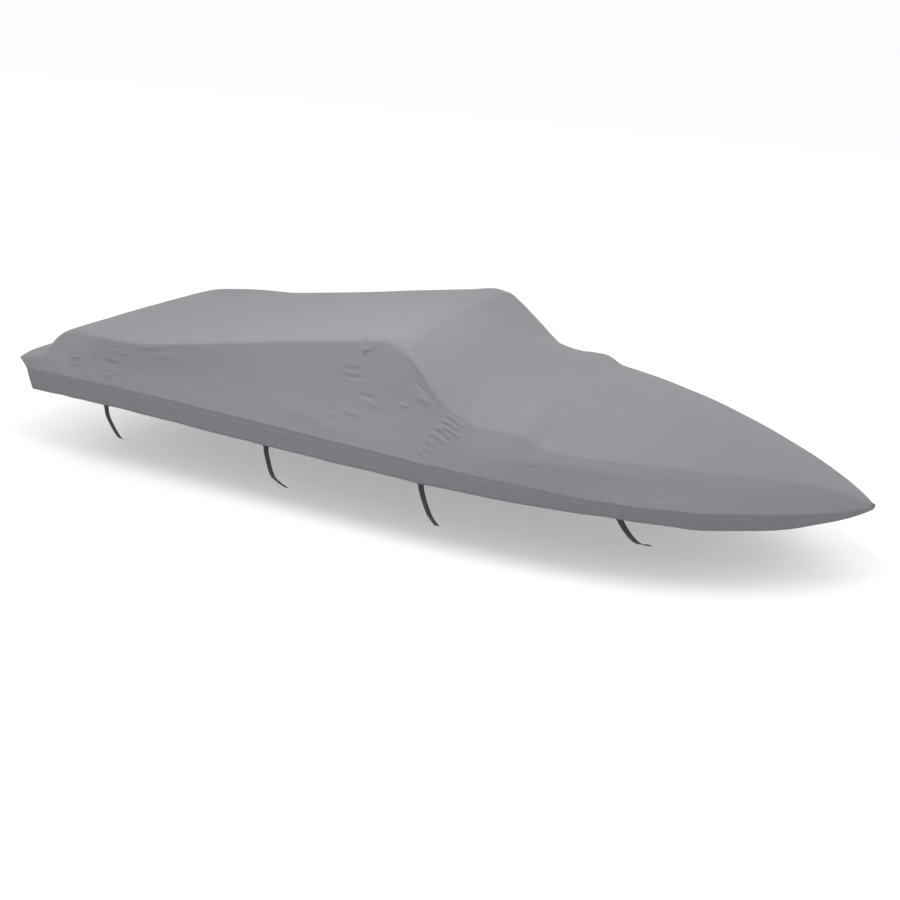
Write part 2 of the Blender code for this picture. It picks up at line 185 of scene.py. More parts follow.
# Columns: side, places, half-width, height.
FOLDS = (
    # gathers at the foot of the windshield
    (STARBOARD, ((3.19, 1.94), (3.27, 1.97), (3.35, 1.84)), 0.014, 0.005),
    (STARBOARD, ((3.15, 1.66), (3.20, 1.74), (3.30, 1.72)), 0.014, 0.006),
    (STARBOARD, ((3.13, 1.36), (3.18, 1.47), (3.28, 1.56)), 0.014, 0.008),
    (STARBOARD, ((3.11, 1.12), (3.19, 1.28), (3.29, 1.30)), 0.013, 0.009),
    (STARBOARD, ((3.09, 1.01), (3.15, 1.11), (3.25, 1.06)), 0.012, 0.007),
    (STARBOARD, ((3.07, 0.80), (3.13, 0.90), (3.21, 0.78)), 0.014, 0.009),
    (STARBOARD, ((3.05, 0.60), (3.09, 0.62), (3.14, 0.59)), 0.013, 0.007),
    (STARBOARD, ((3.04, 0.43), (3.08, 0.44), (3.15, 0.35)), 0.012, 0.006),
    (STARBOARD, ((3.02, 0.28), (3.05, 0.28), (3.10, 0.20)), 0.010, 0.007),
    # the pinches at the gathers' near ends
    (STARBOARD, ((3.13, 1.12), (3.14, 1.11), (3.15, 1.10)), 0.008, 0.007),
    (STARBOARD, ((3.07, 0.66), (3.08, 0.66), (3.09, 0.65)), 0.008, 0.007),
    (STARBOARD, ((3.04, 0.34), (3.05, 0.34), (3.06, 0.33)), 0.009, 0.009),
    (PORT, ((3.14, 1.60), (3.22, 1.56), (3.33, 1.52)), 0.017, 0.011),
    (PORT, ((3.12, 1.32), (3.19, 1.30), (3.28, 1.25)), 0.014, 0.009),
    (PORT, ((3.07, 1.05), (3.17, 1.03), (3.30, 0.97)), 0.018, 0.014),
    (PORT, ((3.04, 0.74), (3.12, 0.70), (3.20, 0.62)), 0.016, 0.011),
    (PORT, ((3.01, 0.45), (3.08, 0.40), (3.17, 0.32)), 0.014, 0.008),
    # the tuck under the windshield's top corner and the slack below it
    (STARBOARD, ((2.53, 2.06), (2.55, 1.99), (2.57, 1.92)), 0.010, -0.012),
    (STARBOARD, ((2.54, 1.86), (2.58, 1.83), (2.62, 1.86), (2.65, 1.97)), 0.009, 0.009),
    (STARBOARD, ((2.57, 1.80), (2.575, 1.75), (2.58, 1.68)), 0.012, -0.010),
    (STARBOARD, ((2.44, 1.52), (2.49, 1.51), (2.56, 1.50)), 0.010, -0.008),
    (STARBOARD, ((2.43, 1.39), (2.50, 1.37), (2.60, 1.37)), 0.010, -0.008),
    (STARBOARD, ((2.57, 1.08), (2.64, 1.07), (2.71, 1.02)), 0.015, -0.007),
    (STARBOARD, ((2.60, 0.99), (2.66, 0.96), (2.74, 0.92)), 0.016, 0.006),
    (STARBOARD, ((2.84, 1.05), (2.88, 1.07), (2.93, 1.10)), 0.010, 0.007),
    (STARBOARD, ((2.96, 1.36), (3.01, 1.46), (3.06, 1.50)), 0.024, 0.010),
    (STARBOARD, ((2.93, 1.58), (2.97, 1.60), (3.01, 1.60)), 0.010, -0.006),
    (STARBOARD, ((2.36, 0.58), (2.41, 0.60), (2.47, 0.60)), 0.015, 0.006),
    (STARBOARD, ((2.47, 0.73), (2.55, 0.71), (2.64, 0.67)), 0.014, 0.007),
    (STARBOARD, ((2.85, 0.51), (2.88, 0.49), (2.92, 0.46)), 0.012, -0.004),
    (STARBOARD, ((2.84, 1.93), (3.03, 1.82), (3.17, 1.80)), 0.022, 0.008),
    (STARBOARD, ((2.98, 2.13), (3.03, 2.13), (3.09, 2.12)), 0.016, -0.006),
    (STARBOARD, ((3.22, 2.13), (3.26, 2.13), (3.30, 2.10)), 0.009, 0.006),
    (STARBOARD, ((3.16, 2.07), (3.19, 2.08), (3.22, 2.08)), 0.009, 0.005),
    (PORT, ((2.45, 1.50), (2.55, 1.38), (2.66, 1.20)), 0.050, -0.012),
    (PORT, ((2.86, 1.90), (3.02, 1.83), (3.16, 1.80)), 0.022, 0.008),
    (PORT, ((2.51, 1.86), (2.57, 1.82), (2.62, 1.86)), 0.020, -0.008),
    # drag lines to the rail
    (STARBOARD, ((2.05, 0.70), (2.32, 0.38), (2.55, 0.12)), 0.060, 0.008),
    (STARBOARD, ((1.43, 1.02), (1.52, 0.96), (1.63, 0.88)), 0.050, 0.006),
    (STARBOARD, ((1.96, 0.67), (2.08, 0.52), (2.21, 0.32)), 0.040, 0.005),
    (PORT, ((1.30, 1.30), (1.62, 0.92), (1.90, 0.50)), 0.080, 0.008),
    (PORT, ((2.10, 0.80), (2.30, 0.55), (2.52, 0.22)), 0.055, 0.007),
    # slack round the stern corner
    (STARBOARD, ((0.18, 1.50), (0.33, 0.98), (0.46, 0.35)), 0.070, -0.018),
    (PORT, ((0.18, 1.50), (0.33, 0.98), (0.46, 0.35)), 0.070, -0.016),
    (STARBOARD, ((0.35, 1.03), (0.40, 1.06), (0.45, 1.08)), 0.010, 0.007),
    (STARBOARD, ((0.37, 0.68), (0.42, 0.71), (0.47, 0.72)), 0.010, 0.007),
    (STARBOARD, ((0.53, 1.39), (0.57, 1.41), (0.61, 1.43)), 0.012, 0.006),
    (STARBOARD, ((0.64, 1.30), (0.71, 1.26), (0.79, 1.19)), 0.014, 0.005),
    (STARBOARD, ((0.66, 1.14), (0.71, 1.09), (0.76, 1.06)), 0.011, -0.007),
    (STARBOARD, ((0.70, 1.68), (0.72, 1.69), (0.75, 1.70)), 0.010, -0.006),
    (STARBOARD, ((0.77, 1.48), (0.81, 1.55), (0.85, 1.62)), 0.012, 0.006),
    (STARBOARD, ((0.64, 0.65), (0.67, 0.66), (0.72, 0.67)), 0.010, -0.006),
    (STARBOARD, ((0.71, 0.78), (0.75, 0.80), (0.80, 0.82)), 0.010, 0.007),
    (STARBOARD, ((0.71, 0.66), (0.75, 0.68), (0.80, 0.70)), 0.010, 0.006),
    (STARBOARD, ((0.67, 0.37), (0.70, 0.31), (0.74, 0.22)), 0.011, -0.007),
    (STARBOARD, ((0.91, 0.88), (0.94, 0.89), (0.97, 0.90)), 0.010, -0.004),
    (STARBOARD, ((0.91, 0.67), (0.94, 0.67), (0.97, 0.68)), 0.010, -0.004),
    (STARBOARD, ((0.92, 1.82), (1.02, 1.85), (1.14, 1.85)), 0.016, 0.006),
    (STARBOARD, ((1.01, 1.57), (1.12, 1.59), (1.25, 1.58)), 0.020, 0.005),
    (PORT, ((0.50, 1.10), (0.58, 1.17), (0.68, 1.20)), 0.018, 0.007),
    (PORT, ((0.72, 0.62), (0.80, 0.66), (0.90, 0.66)), 0.018, 0.007),
    # the step from the windshield's foot down to the foredeck
    (STARBOARD, ((3.38, 2.04), (3.50, 2.03), (3.64, 2.02)), 0.014, 0.009),
    (STARBOARD, ((3.36, 1.90), (3.40, 1.92), (3.45, 1.93)), 0.010, -0.006),
    (STARBOARD, ((3.70, 0.80), (3.73, 0.77), (3.77, 0.80)), 0.010, -0.005),
    (STARBOARD, ((4.43, 0.32), (4.47, 0.32), (4.51, 0.35)), 0.011, -0.006),
    (STARBOARD, ((4.45, 0.47), (4.48, 0.47), (4.51, 0.50)), 0.010, -0.003),
    (STARBOARD, ((4.38, 2.45), (4.40, 2.40), (4.41, 2.34)), 0.012, -0.003),
    (PORT, ((3.38, 1.92), (3.56, 1.97), (3.80, 1.72)), 0.032, 0.006),
    (PORT, ((3.46, 2.66), (3.53, 2.73), (3.60, 2.80)), 0.020, 0.004),
    (STARBOARD, ((4.02, 0.98), (4.22, 0.86), (4.44, 0.80)), 0.035, 0.004),
)
# A fold keeps this share of its height at its two ends, and rises over this share of its run.
FOLD_END_HEIGHT = 0.15
FOLD_END = 0.30
# Beside a ridge the cloth dips by this share of it, and past this many half-widths it is flat.
FOLD_DIP = 0.30
FOLD_REACH = 3.0
RAIL_HOLD = 0.30
FOLD_PIECES = 10

# ---- unevenness of the hung cloth; columns: waves a metre, height ----
UNEVEN = (
    (1.7, 0.0040),
    (4.5, 0.0016),
    (11.0, 0.0006),
)
# The sewn line along the rail wavers by this much, this many times a metre, less near its two ends.
RAIL_WAVER = 0.005
RAIL_WAVES = 7.0
RAIL_CALM = 0.30
# Places where the cloth lies slack and crumples; columns: side, x, p, radius in metres.
SLACK_PLACES = (
    (STARBOARD, 3.16, 1.00, 0.30),
    (STARBOARD, 2.52, 1.40, 0.28),
    (STARBOARD, 0.72, 0.95, 0.42),
    (STARBOARD, 1.12, 1.60, 0.28),
    (STARBOARD, 2.50, 0.60, 0.30),
    (PORT, 3.14, 1.00, 0.32),
    (PORT, 2.55, 1.40, 0.30),
    (PORT, 0.72, 0.95, 0.42),
)

# ---- skirt and hem; depths run down from the rail, offsets inward from the skirt's line ----
LAP = 0.012
HEM_DEPTH = 0.028
SKIRT_OFFSET = 0.0010
HEM_BULGE = 0.0034
HEM_SHARE = 0.60
LAP_GAP = 0.0004
SKIRT_SWAY = 0.0012
SWAY_WAVES = 3.0
SKIRT_SLACK = 0.12

# ---- sewing ----
STITCH_PITCH = 0.0080
STITCH_LENGTH = 0.0058
THREAD = 0.0011
SEAM_ROWS = (0.005, 0.011)
HEM_ROWS = (0.006, 0.023)
THREAD_PROUD = 0.0002
BOX_WIDTH = 0.022
BOX_HEIGHT = 0.028
BOX_MARGIN = 0.004
BOX_PITCH = 0.0046
BOX_STITCH = 0.0036

TIES = (
    ("1", 0.67, ((0.015, 0.000, 0.087), (0.079, 0.000, 0.210), (0.127, 0.000, 0.278), (0.180, 0.0, 0.309))),
    ("2", 1.96, ((0.012, 0.000, 0.070), (0.076, 0.000, 0.227), (0.160, 0.000, 0.312), (0.257, 0.0, 0.386))),
    ("3", 3.06, ((0.043, 0.000, 0.083), (0.124, 0.000, 0.195), (0.223, 0.000, 0.310), (0.360, 0.0, 0.429))),
    ("4", 4.27, ((0.048, 0.044, 0.082), (0.108, 0.100, 0.163), (0.159, 0.154, 0.216), (0.200, 0.225, 0.236))),
)
TIE_GAP = 0.0005
# The skirt leans inboard, so on the level its wall is a little wider than the cloth.
LEAN_ALLOWANCE = 1.05
TIE_STEPS = 12
TIE_SPACING = 0.004
HEAD_STEP = 0.0004
# The webbing itself is this share of its collision solid's thickness.
WEBBING_REAL = 0.85

# ---- stage, light and camera, row frame ----
FLOOR_Z = -1.27
FLOOR_HALF = 60.0
CAMERA_PLACE = (2.574, -6.297, 1.535)
CAMERA_YAW = math.radians(20.58)
CAMERA_PITCH = math.radians(20.79)
CAMERA_ROLL = math.radians(4.60)
CAMERA_LENS = 40.0
SENSOR = 36.0

# ---- colours and finishes ----
ROUGHNESS_SWING = 0.05
GREY_CLOTH = (0.215, 0.213, 0.226, 1.0)
# The skirt band is a little darker than the body cloth: partly its own darker cloth, partly painted shade of
# the skirt, which faces down and inboard.
GREY_BAND_AND_SHADE = (0.196, 0.194, 0.210, 1.0)
BLACK_WEBBING = (0.012, 0.012, 0.013, 1.0)
GREY_THREAD = (0.150, 0.150, 0.158, 1.0)
FLOOR_COLOUR = (0.70, 0.70, 0.703, 1.0)
CLOTH_ROUGHNESS = 0.82
CLOTH_SPECULAR = 0.25
CLOTH_SHEEN = 0.12
CLOTH_SHEEN_ROUGHNESS = 0.5
CLOTH_FADE = 0.035
CLOTH_MOTTLE = 0.030
# Painted shade: the cloth's colour is darkened by this share in the gaps between its threads.
GAP_SHADE = 0.25
WARP_PITCH = 0.0010
WEFT_PITCH = 0.0011
THREAD_RELIEF = 0.00012
CREASE = 0.0009
RIPPLE = 0.0006
WEBBING_WARP = 0.0016
WEBBING_WEFT = 0.0024
WEBBING_RELIEF = 0.0004

SKY_COLOUR = (0.985, 0.985, 1.0, 1.0)
SKY_STRENGTH = 1.07
BACKDROP_STRENGTH = 1.0
KEY_POWER = 97.0
KEY_COLOUR = (1.0, 0.995, 0.985)
KEY_SIZE = (2.4, 2.0)
KEY_PLACE = (0.3, -2.4, 3.15)
FLOOR_GLOW = 0.33


def read_line(table, x, column):
    """A smooth value between the rows of a table, with no overshoot past a row."""
    last = len(table) - 1
    i = 0
    while i < last - 1 and x > table[i + 1][0]:
        i += 1

    def slope(k):
        return (table[k + 1][column] - table[k][column]) / (table[k + 1][0] - table[k][0])

    def tangent(k):
        if k == 0:
            return slope(0)
        if k == last:
            return slope(last - 1)
        before, after = slope(k - 1), slope(k)
        if before * after <= 0.0:
            return 0.0
        run_before = table[k][0] - table[k - 1][0]
        run_after = table[k + 1][0] - table[k][0]
        w1, w2 = 2 * run_after + run_before, run_after + 2 * run_before
        return (w1 + w2) / (w1 / before + w2 / after)

    run = table[i + 1][0] - table[i][0]
    t = min(max((x - table[i][0]) / run, 0.0), 1.0)
    low, high = table[i][column], table[i + 1][column]
    m1, m2 = tangent(i) * run, tangent(i + 1) * run
    return (
        low * (1 + 2 * t) * (1 - t) ** 2
        + m1 * t * (1 - t) ** 2
        + high * t * t * (3 - 2 * t)
        + m2 * t * t * (t - 1)
    )


DATUM = Vector((-MOUNT_X, 0.0, CLOTH - read_line(CROWN, MOUNT_X, 1)))


def section_corners(x):
    """Half-width and height of the rail, shoulder, ridge and crown at x."""
    corners = [(read_line(line, x, 1), read_line(line, x, 2)) for line in (RAIL, SHOULDER, RIDGE)]
    calm = min(x, LENGTH - x, RAIL_CALM) / RAIL_CALM
    waver = RAIL_WAVER * calm * noise.noise(Vector((x * RAIL_WAVES, 0.4, 0.7)))
    corners[0] = (corners[0][0], corners[0][1] + waver)
    return corners + [(0.0, read_line(CROWN, x, 1))]


def panel_point(corners, fullness, p):
    """A point on the unrounded section: p is 0 at the rail, 1 shoulder, 2 ridge, 3 crown."""
    i = min(int(p), 2)
    t = p - i
    (w1, z1), (w2, z2) = corners[i], corners[i + 1]
    if i < 2:
        return (w1 + (w2 - w1) * t, z1 + (z2 - z1) * t)
    return (w1 * (1 - t), z2 - (z2 - z1) * (1 - t) ** fullness)


@functools.lru_cache(maxsize=4)
def section_shape(x):
    """All that one section needs: corners, fullness of the crown, softness of the ridge."""
    return section_corners(x), read_line(CROWN, x, 2), read_line(RIDGE, x, 3)


def section_point(x, p):
    """A point on the section at x with its shoulder and ridge rounded off."""
    corners, fullness, ridge_softness = section_shape(x)
    for corner, softness in ((1, SHOULDER_SOFTNESS), (2, ridge_softness)):
        if abs(p - corner) < softness:
            t = (p - corner + softness) / (2 * softness)
            a = panel_point(corners, fullness, corner - softness)
            b = corners[corner]
            c = panel_point(corners, fullness, corner + softness)
            return tuple(
                a[k] * (1 - t) ** 2 + 2 * b[k] * t * (1 - t) + c[k] * t * t for k in (0, 1)
            )
    return panel_point(corners, fullness, p)


def curve_between(a, b, c, d, t):
    """Catmull-Rom curve from b to c."""
    return (
        b * 2 + (c - a) * t + (a * 2 - b * 5 + c * 4 - d) * t ** 2 + (b * 3 - a - c * 3 + d) * t ** 3
    ) * 0.5


# ---- the cover's surface ----
def column_places():
    """p and side of every column, starboard rail to port rail."""
    half = []
    for panel, steps in enumerate(PANEL_STEPS):
        half += [panel + k / steps for k in range(steps)]
    starboard = [(p, STARBOARD) for p in half]
    port = [(p, PORT) for p in reversed(half)]
    return starboard + [(3.0, STARBOARD)] + port


def stations():
    """x of every row, stern to just short of the bow tip."""
    xs = []
    for start, end, steps in STATION_RUNS:
        xs += [start + (end - start) * k / steps for k in range(steps)]
    return xs + [STATION_RUNS[-1][1]]


def stern_shift(x, w, z):
    """The rounded corners of the transom move a point forward, and its lean moves it aft."""
    corner_start = SHOULDER[0][1] - CORNER_RADIUS
    into_corner = min(max(w - corner_start, 0.0) / CORNER_RADIUS, 1.0)
    rounding = CORNER_RADIUS * (1 - math.sqrt(1 - into_corner ** 2))
    lean = TRANSOM_LEAN * max(z, 0.0) / SHOULDER[0][2]
    return (rounding - lean) * max(1 - x / STERN_EASE, 0.0)


def cover_row(x, places):
    """Points of the unfolded cover at one station."""
    row = []
    for p, side in places:
        w, z = section_point(x, p)
        row.append((x + stern_shift(x, w, z), side * w, z))
    return row


def cover_point(x, p, side):
    return Vector(cover_row(x, ((p, side),))[0])


def surface_normals(grid):
    """Outward unit normals of a grid of points, rows stern to bow and columns starboard to port."""
    along = np.gradient(grid, axis=0)
    across = np.gradient(grid, axis=1)
    normals = np.cross(along, across)
    return normals / np.maximum(np.linalg.norm(normals, axis=2, keepdims=True), 1e-12)


def fold_line(side, places):
    """Points along a fold's middle, on the unfolded cover."""
    line = []
    for (x1, p1), (x2, p2) in zip(places, places[1:]):
        for k in range(FOLD_PIECES):
            t = k / FOLD_PIECES
            line.append(cover_point(x1 + (x2 - x1) * t, p1 + (p2 - p1) * t, side))
    line.append(cover_point(*places[-1], side))
    return np.array(line)


def near_line(points, line):
    """Each point's distance to a line of points, and its share of the way along it."""
    best = np.full(len(points), np.inf)
    share = np.zeros(len(points))
    runs = np.linalg.norm(np.diff(line, axis=0), axis=1)
    walked = np.concatenate([[0.0], np.cumsum(runs)])
    for k, run in enumerate(runs):
        step = (line[k + 1] - line[k]) / run
        along = np.clip((points - line[k]) @ step, 0.0, run)
        away = np.linalg.norm(points - line[k] - along[:, None] * step, axis=1)
        closer = away < best
        best[closer] = away[closer]
        share[closer] = (walked[k] + along[closer]) / walked[-1]
    return best, share


def fold_heights(grid):
    """How far the folds lift every point of the grid."""
    sides = np.array([side for _, side in column_places()])
    total = np.zeros(grid.shape[:2])
    for side, places, half_width, height in FOLDS:
        line = fold_line(side, places)
        reach = FOLD_REACH * half_width
        close = ((grid > line.min(0) - reach) & (grid < line.max(0) + reach)).all(2)
        close &= sides[None, :] == side
        away, share = near_line(grid[close], line)
        away /= half_width
        fade = np.minimum(1.0, np.minimum(share, 1.0 - share) / FOLD_END)
        fade = FOLD_END_HEIGHT + (1.0 - FOLD_END_HEIGHT) * fade * fade * (3.0 - 2.0 * fade)
        shape = (1.0 - FOLD_DIP * away * away) * np.exp(-away * away)
        total[close] += height * shape * fade
    return total


def unevenness(grid):
    """Slow, shallow waves of the hung cloth."""
    total = np.zeros(grid.shape[:2])
    for waves, height in UNEVEN:
        for i, row in enumerate(grid):
            total[i] += [height * noise.noise(Vector(point) * waves) for point in row]
    return total


def slackness(grid):
    """1 where the cloth lies slack, falling to 0 where it is drawn tight."""
    sides = np.array([side for _, side in column_places()])
    slack = np.zeros(grid.shape[:2])
    for side, x, p, radius in SLACK_PLACES:
        away = np.linalg.norm(grid - np.array(cover_point(x, p, side)), axis=2) / radius
        slack = np.maximum(slack, np.exp(-away * away) * (sides[None, :] == side))
    return slack


def body_grid():
    """The fine points of the body cloth, and how slack the cloth is at each."""
    places = column_places()
    flat = np.array([cover_row(x, places) for x in stations()])
    hold = np.array([min(p / RAIL_HOLD, 1.0) for p, _ in places])
    lift = (fold_heights(flat) + unevenness(flat)) * hold[None, :]
    return flat + surface_normals(flat) * lift[:, :, None], slackness(flat)


def transom_columns():
    """The columns whose edge over the transom stands on a foot: those between the shoulders."""
    return [j for j, (p, _) in enumerate(column_places()) if p > 1.0]


def transom_foot(point):
    """The place on the rail's level under a point of the transom's top edge."""
    x, y, z = point
    return np.array((x + TRANSOM_LEAN * z / SHOULDER[0][2], y, RAIL[0][2]))


def rail_ring(grid):
    """The body's lower edge, starboard, round the bow, port and transom.

    Each place is its point, its station x and the direction in which the body cloth rises from it.
    """
    xs = stations()

    def place_on(low, high, x):
        low, high = Vector(low), Vector(high)
        return low, x, (high - low).normalized()

    starboard = [place_on(row[0], row[1], x) for row, x in zip(grid, xs)]
    port = [place_on(row[-1], row[-2], x) for row, x in zip(grid, xs)]
    tip_point = Vector((LENGTH, 0.0, RAIL[-1][2]))
    tip = (tip_point, LENGTH, (starboard[-1][2] + port[-1][2]).normalized())
    transom = [
        place_on(transom_foot(grid[0][j]), grid[0][j], 0.0) for j in reversed(transom_columns())
    ]
    return starboard + [tip] + port[::-1] + transom


# ---- making meshes ----
def add_mesh(name, points, faces, material, uvs=None, marks=None):
    """A smooth object whose place is in its mesh: uvs are a point's (u, v) in metres."""
    mesh = bpy.data.meshes.new(name)
    mesh.from_pydata([tuple(Vector(p) + DATUM) for p in points], [], faces)
    mesh.materials.append(material)
    if uvs is not None:
        layer = mesh.uv_layers.new(name="cloth")
        for loop in mesh.loops:
            layer.data[loop.index].uv = uvs[loop.vertex_index]
    if marks is not None:
        for title, values in marks.items():
            attribute = mesh.attributes.new(title, "FLOAT", "POINT")
            attribute.data.foreach_set("value", np.asarray(values, np.float32))
    mesh.shade_smooth()
    mesh.set_sharp_from_angle(angle=math.radians(50))
    made = bpy.data.objects.new(name, mesh)
    bpy.context.scene.collection.objects.link(made)
    return made


def point_outward(made):
    """Turns a closed mesh's faces outward."""
    bm = bmesh.new()
    bm.from_mesh(made.data)
    bmesh.ops.recalc_face_normals(bm, faces=bm.faces)
    bm.to_mesh(made.data)
    bm.free()
    made.data.shade_smooth()


def zip_strip(a, b):
    """Triangles between two runs of point numbers that start at the same place."""
    faces = []
    i = j = 0
    while i < len(a) - 1 or j < len(b) - 1:
        step_a = (i + 1) / (len(a) - 1) if i < len(a) - 1 else 2.0
        step_b = (j + 1) / (len(b) - 1) if j < len(b) - 1 else 2.0
        if step_a <= step_b:
            face = (a[i], a[i + 1], b[j])
            i += 1
        else:
            face = (a[i], b[j + 1], b[j])
            j += 1
        if len(set(face)) == 3:
            faces.append(face)
    return faces


def make_body(grid, slack, material):
    """The body cloth: the draped grid, the bow tip and the wall over the transom."""
    rows, columns = grid.shape[:2]
    points = [tuple(p) for row in grid for p in row]
    across = np.zeros((rows, columns))
    across[:, 1:] = np.cumsum(np.linalg.norm(np.diff(grid, axis=1), axis=2), axis=1)
    across -= across[:, [columns // 2]]
    middle = grid[:, columns // 2]
    along = np.concatenate([[0.0], np.cumsum(np.linalg.norm(np.diff(middle, axis=0), axis=1))])
    uvs = [(along[i], across[i, j]) for i in range(rows) for j in range(columns)]
    marks = [float(s) for row in slack for s in row]
    faces = []
    for i in range(rows - 1):
        for j in range(columns - 1):
            a = i * columns + j
            faces.append((a, a + columns, a + columns + 1, a + 1))

    tip = len(points)
    points.append((LENGTH, 0.0, RAIL[-1][2]))
    uvs.append((along[-1] + LENGTH - STATION_RUNS[-1][1], 0.0))
    marks.append(0.0)
    last = (rows - 1) * columns
    faces += [(last + j, tip, last + j + 1) for j in range(columns - 1)]

    between = transom_columns()
    wall = {}
    for j in between:
        foot = transom_foot(grid[0, j])
        wall[j] = [j]
        for level in range(1, TRANSOM_LEVELS + 1):
            share = level / TRANSOM_LEVELS
            wall[j].append(len(points))
            points.append(tuple(grid[0, j] * (1 - share) + foot * share))
            uvs.append((-share * (grid[0, j, 2] - foot[2]), across[0, j]))
            marks.append(0.0)
    for left, right in zip(between, between[1:]):
        for level in range(TRANSOM_LEVELS):
            a, b = wall[left], wall[right]
            faces.append((a[level], b[level], b[level + 1], a[level + 1]))
    first, final = between[0], between[-1]
    faces += zip_strip(wall[first], list(range(first, -1, -1)))
    faces += zip_strip(list(range(final, columns)), wall[final])
    made = add_mesh("body_cloth_fine", points, faces, material, uvs, {"slack": marks})
    thick = made.modifiers.new("cloth", "SOLIDIFY")
    thick.thickness = SHEET
    thick.offset = -1.0
    thick.use_even_offset = False
    return made


def ring_inward(ring, i):
    """Level unit vector from ring point i to the inside of the cover."""
    along = ring[(i + 1) % len(ring)][0] - ring[i - 1][0]
    return Vector((-along.y, along.x, 0.0)).normalized()


def skirt_place(ring, i, depth, offset):
    """A place on the skirt below ring point i, or lapped behind the body cloth above it."""
    point, x, rise = ring[i]
    inward = ring_inward(ring, i)
    if depth < 0.0:
        return point - rise * depth + inward * offset
    inset, drop = read_line(HEM, x, 1), read_line(HEM, x, 2)
    share = depth / drop
    sway = SKIRT_SWAY * noise.noise(point * SWAY_WAVES) * share * share
    return point + inward * (inset * share ** 1.5 + offset + sway) - Vector((0.0, 0.0, depth))


def skirt_profile(drop):
    """(depth, offset) round the skirt's section: outer face down, round the hem, inner face up."""
    hem = min(HEM_DEPTH, HEM_SHARE * drop)
    outer, inner = SKIRT_OFFSET, SKIRT_OFFSET + SHEET
    behind = SHEET + LAP_GAP
    top = drop - hem
    return (
        (-LAP, behind),
        (-LAP / 3, behind),
        (0.002, behind),
        (0.006, outer),
        (top * 0.35, outer),
        (top * 0.70, outer),
        (top - 0.0010, outer),
        (top + 0.0006, outer - 0.0008),
        (top + hem * 0.45, outer - 0.0010),
        (drop - 0.0030, outer - 0.0009),
        (drop - 0.0006, outer - 0.0002),
        (drop, outer + HEM_BULGE * 0.25),
        (drop, outer + HEM_BULGE * 0.50),
        (drop - 0.0006, outer + HEM_BULGE * 0.70),
        (drop - 0.0030, outer + HEM_BULGE * 0.78),
        (top + hem * 0.45, outer + HEM_BULGE * 0.80),
        (top + 0.0006, outer + HEM_BULGE * 0.74),
        (top - 0.0010, inner),
        (top * 0.70, inner),
        (top * 0.35, inner),
        (0.006, inner),
        (0.002, behind + SHEET),
        (-LAP / 3, behind + SHEET),
        (-LAP, behind + SHEET),
    )


def make_skirt(ring, material):
    """The skirt band, lapped behind the body cloth and turned up in a doubled hem."""
    points, uvs = [], []
    walked = 0.0
    for i, (point, x, _) in enumerate(ring):
        if i:
            walked += (point - ring[i - 1][0]).length
        profile = skirt_profile(read_line(HEM, x, 2))
        around = 0.0
        for k, (depth, offset) in enumerate(profile):
            made = skirt_place(ring, i, depth, offset)
            if k:
                around += (made - points[-1]).length
            points.append(made)
            uvs.append((walked, around))
    count = len(profile)
    total = len(points)
    faces = []
    for i in range(len(ring)):
        for k in range(count):
            a, b = i * count + k, i * count + (k + 1) % count
            faces.append((a, b, (b + count) % total, (a + count) % total))
    made = add_mesh("skirt_band_fine", points, faces, material, uvs, {"slack": [SKIRT_SLACK] * total})
    point_outward(made)
    return made


# ---- tie-downs ----
def hem_place(ring, x, side, share):
    """A place on the skirt's line between two ring points, and the hem's direction there."""
    count = len(stations())
    order = range(count) if side == STARBOARD else range(2 * count, count, -1)
    behind = [i for i in order if ring[i][1] <= x][-1]
    ahead = behind - side
    t = (x - ring[behind][1]) / (ring[ahead][1] - ring[behind][1])
    a, b = (skirt_place(ring, i, share * read_line(HEM, ring[i][1], 2), 0.0) for i in (behind, ahead))
    return a.lerp(b, t), (b - a).normalized()


def tie_path(ring, x, side, route):
    """The middle line of a tie: up the inside of the skirt, then free below the hem."""
    drop = read_line(HEM, x, 2)
    hem, along = hem_place(ring, x, side, 1.0)
    inward = Vector((along.y, -along.x, 0.0)).normalized() * side
    behind_skirt = inward * (CLOTH + TIE_GAP + HEAD_THICK / 2) * LEAN_ALLOWANCE
    top = hem_place(ring, x, side, 1.0 - HEAD_ABOVE_HEM / drop)[0] + behind_skirt
    exit_point = hem + behind_skirt
    forward = Vector((along.x, along.y, 0.0)).normalized()
    knots = [top, exit_point]
    knots += [exit_point + inward * a + forward * b - Vector((0.0, 0.0, c)) for a, b, c in route]
    path = [top.lerp(exit_point, n / TIE_STEPS) for n in range(TIE_STEPS + 1)]
    for k in range(2, len(knots)):
        before = knots[k - 2]
        after = knots[k + 1] if k + 1 < len(knots) else knots[k] * 2 - knots[k - 1]
        for n in range(1, TIE_STEPS + 1):
            path.append(curve_between(before, knots[k - 1], knots[k], after, n / TIE_STEPS))
    return path, along


def evenly(path, extra):
    """The path's points at an even spacing and at the extra distances, with those distances."""
    line = np.array(path)
    walked = np.concatenate([[0.0], np.cumsum(np.linalg.norm(np.diff(line, axis=0), axis=1))])
    at = np.linspace(0.0, walked[-1], int(walked[-1] / TIE_SPACING) + 1)
    at = np.unique(np.concatenate([at, extra]))
    return [Vector([np.interp(d, walked, line[:, k]) for k in range(3)]) for d in at], at


def webbing_section(half_width, half_thick):
    """Points round flat webbing with rounded edges: (across, through)."""
    flat = half_width - half_thick
    half = [(-flat, -half_thick), (-flat / 3, -half_thick), (flat / 3, -half_thick), (flat, -half_thick)]
    edge = (half_width - half_thick * 0.3, -half_thick * 0.5)
    one_side = half + [edge, (half_width, 0.0)]
    return one_side + [(-a, -b) for a, b in one_side]


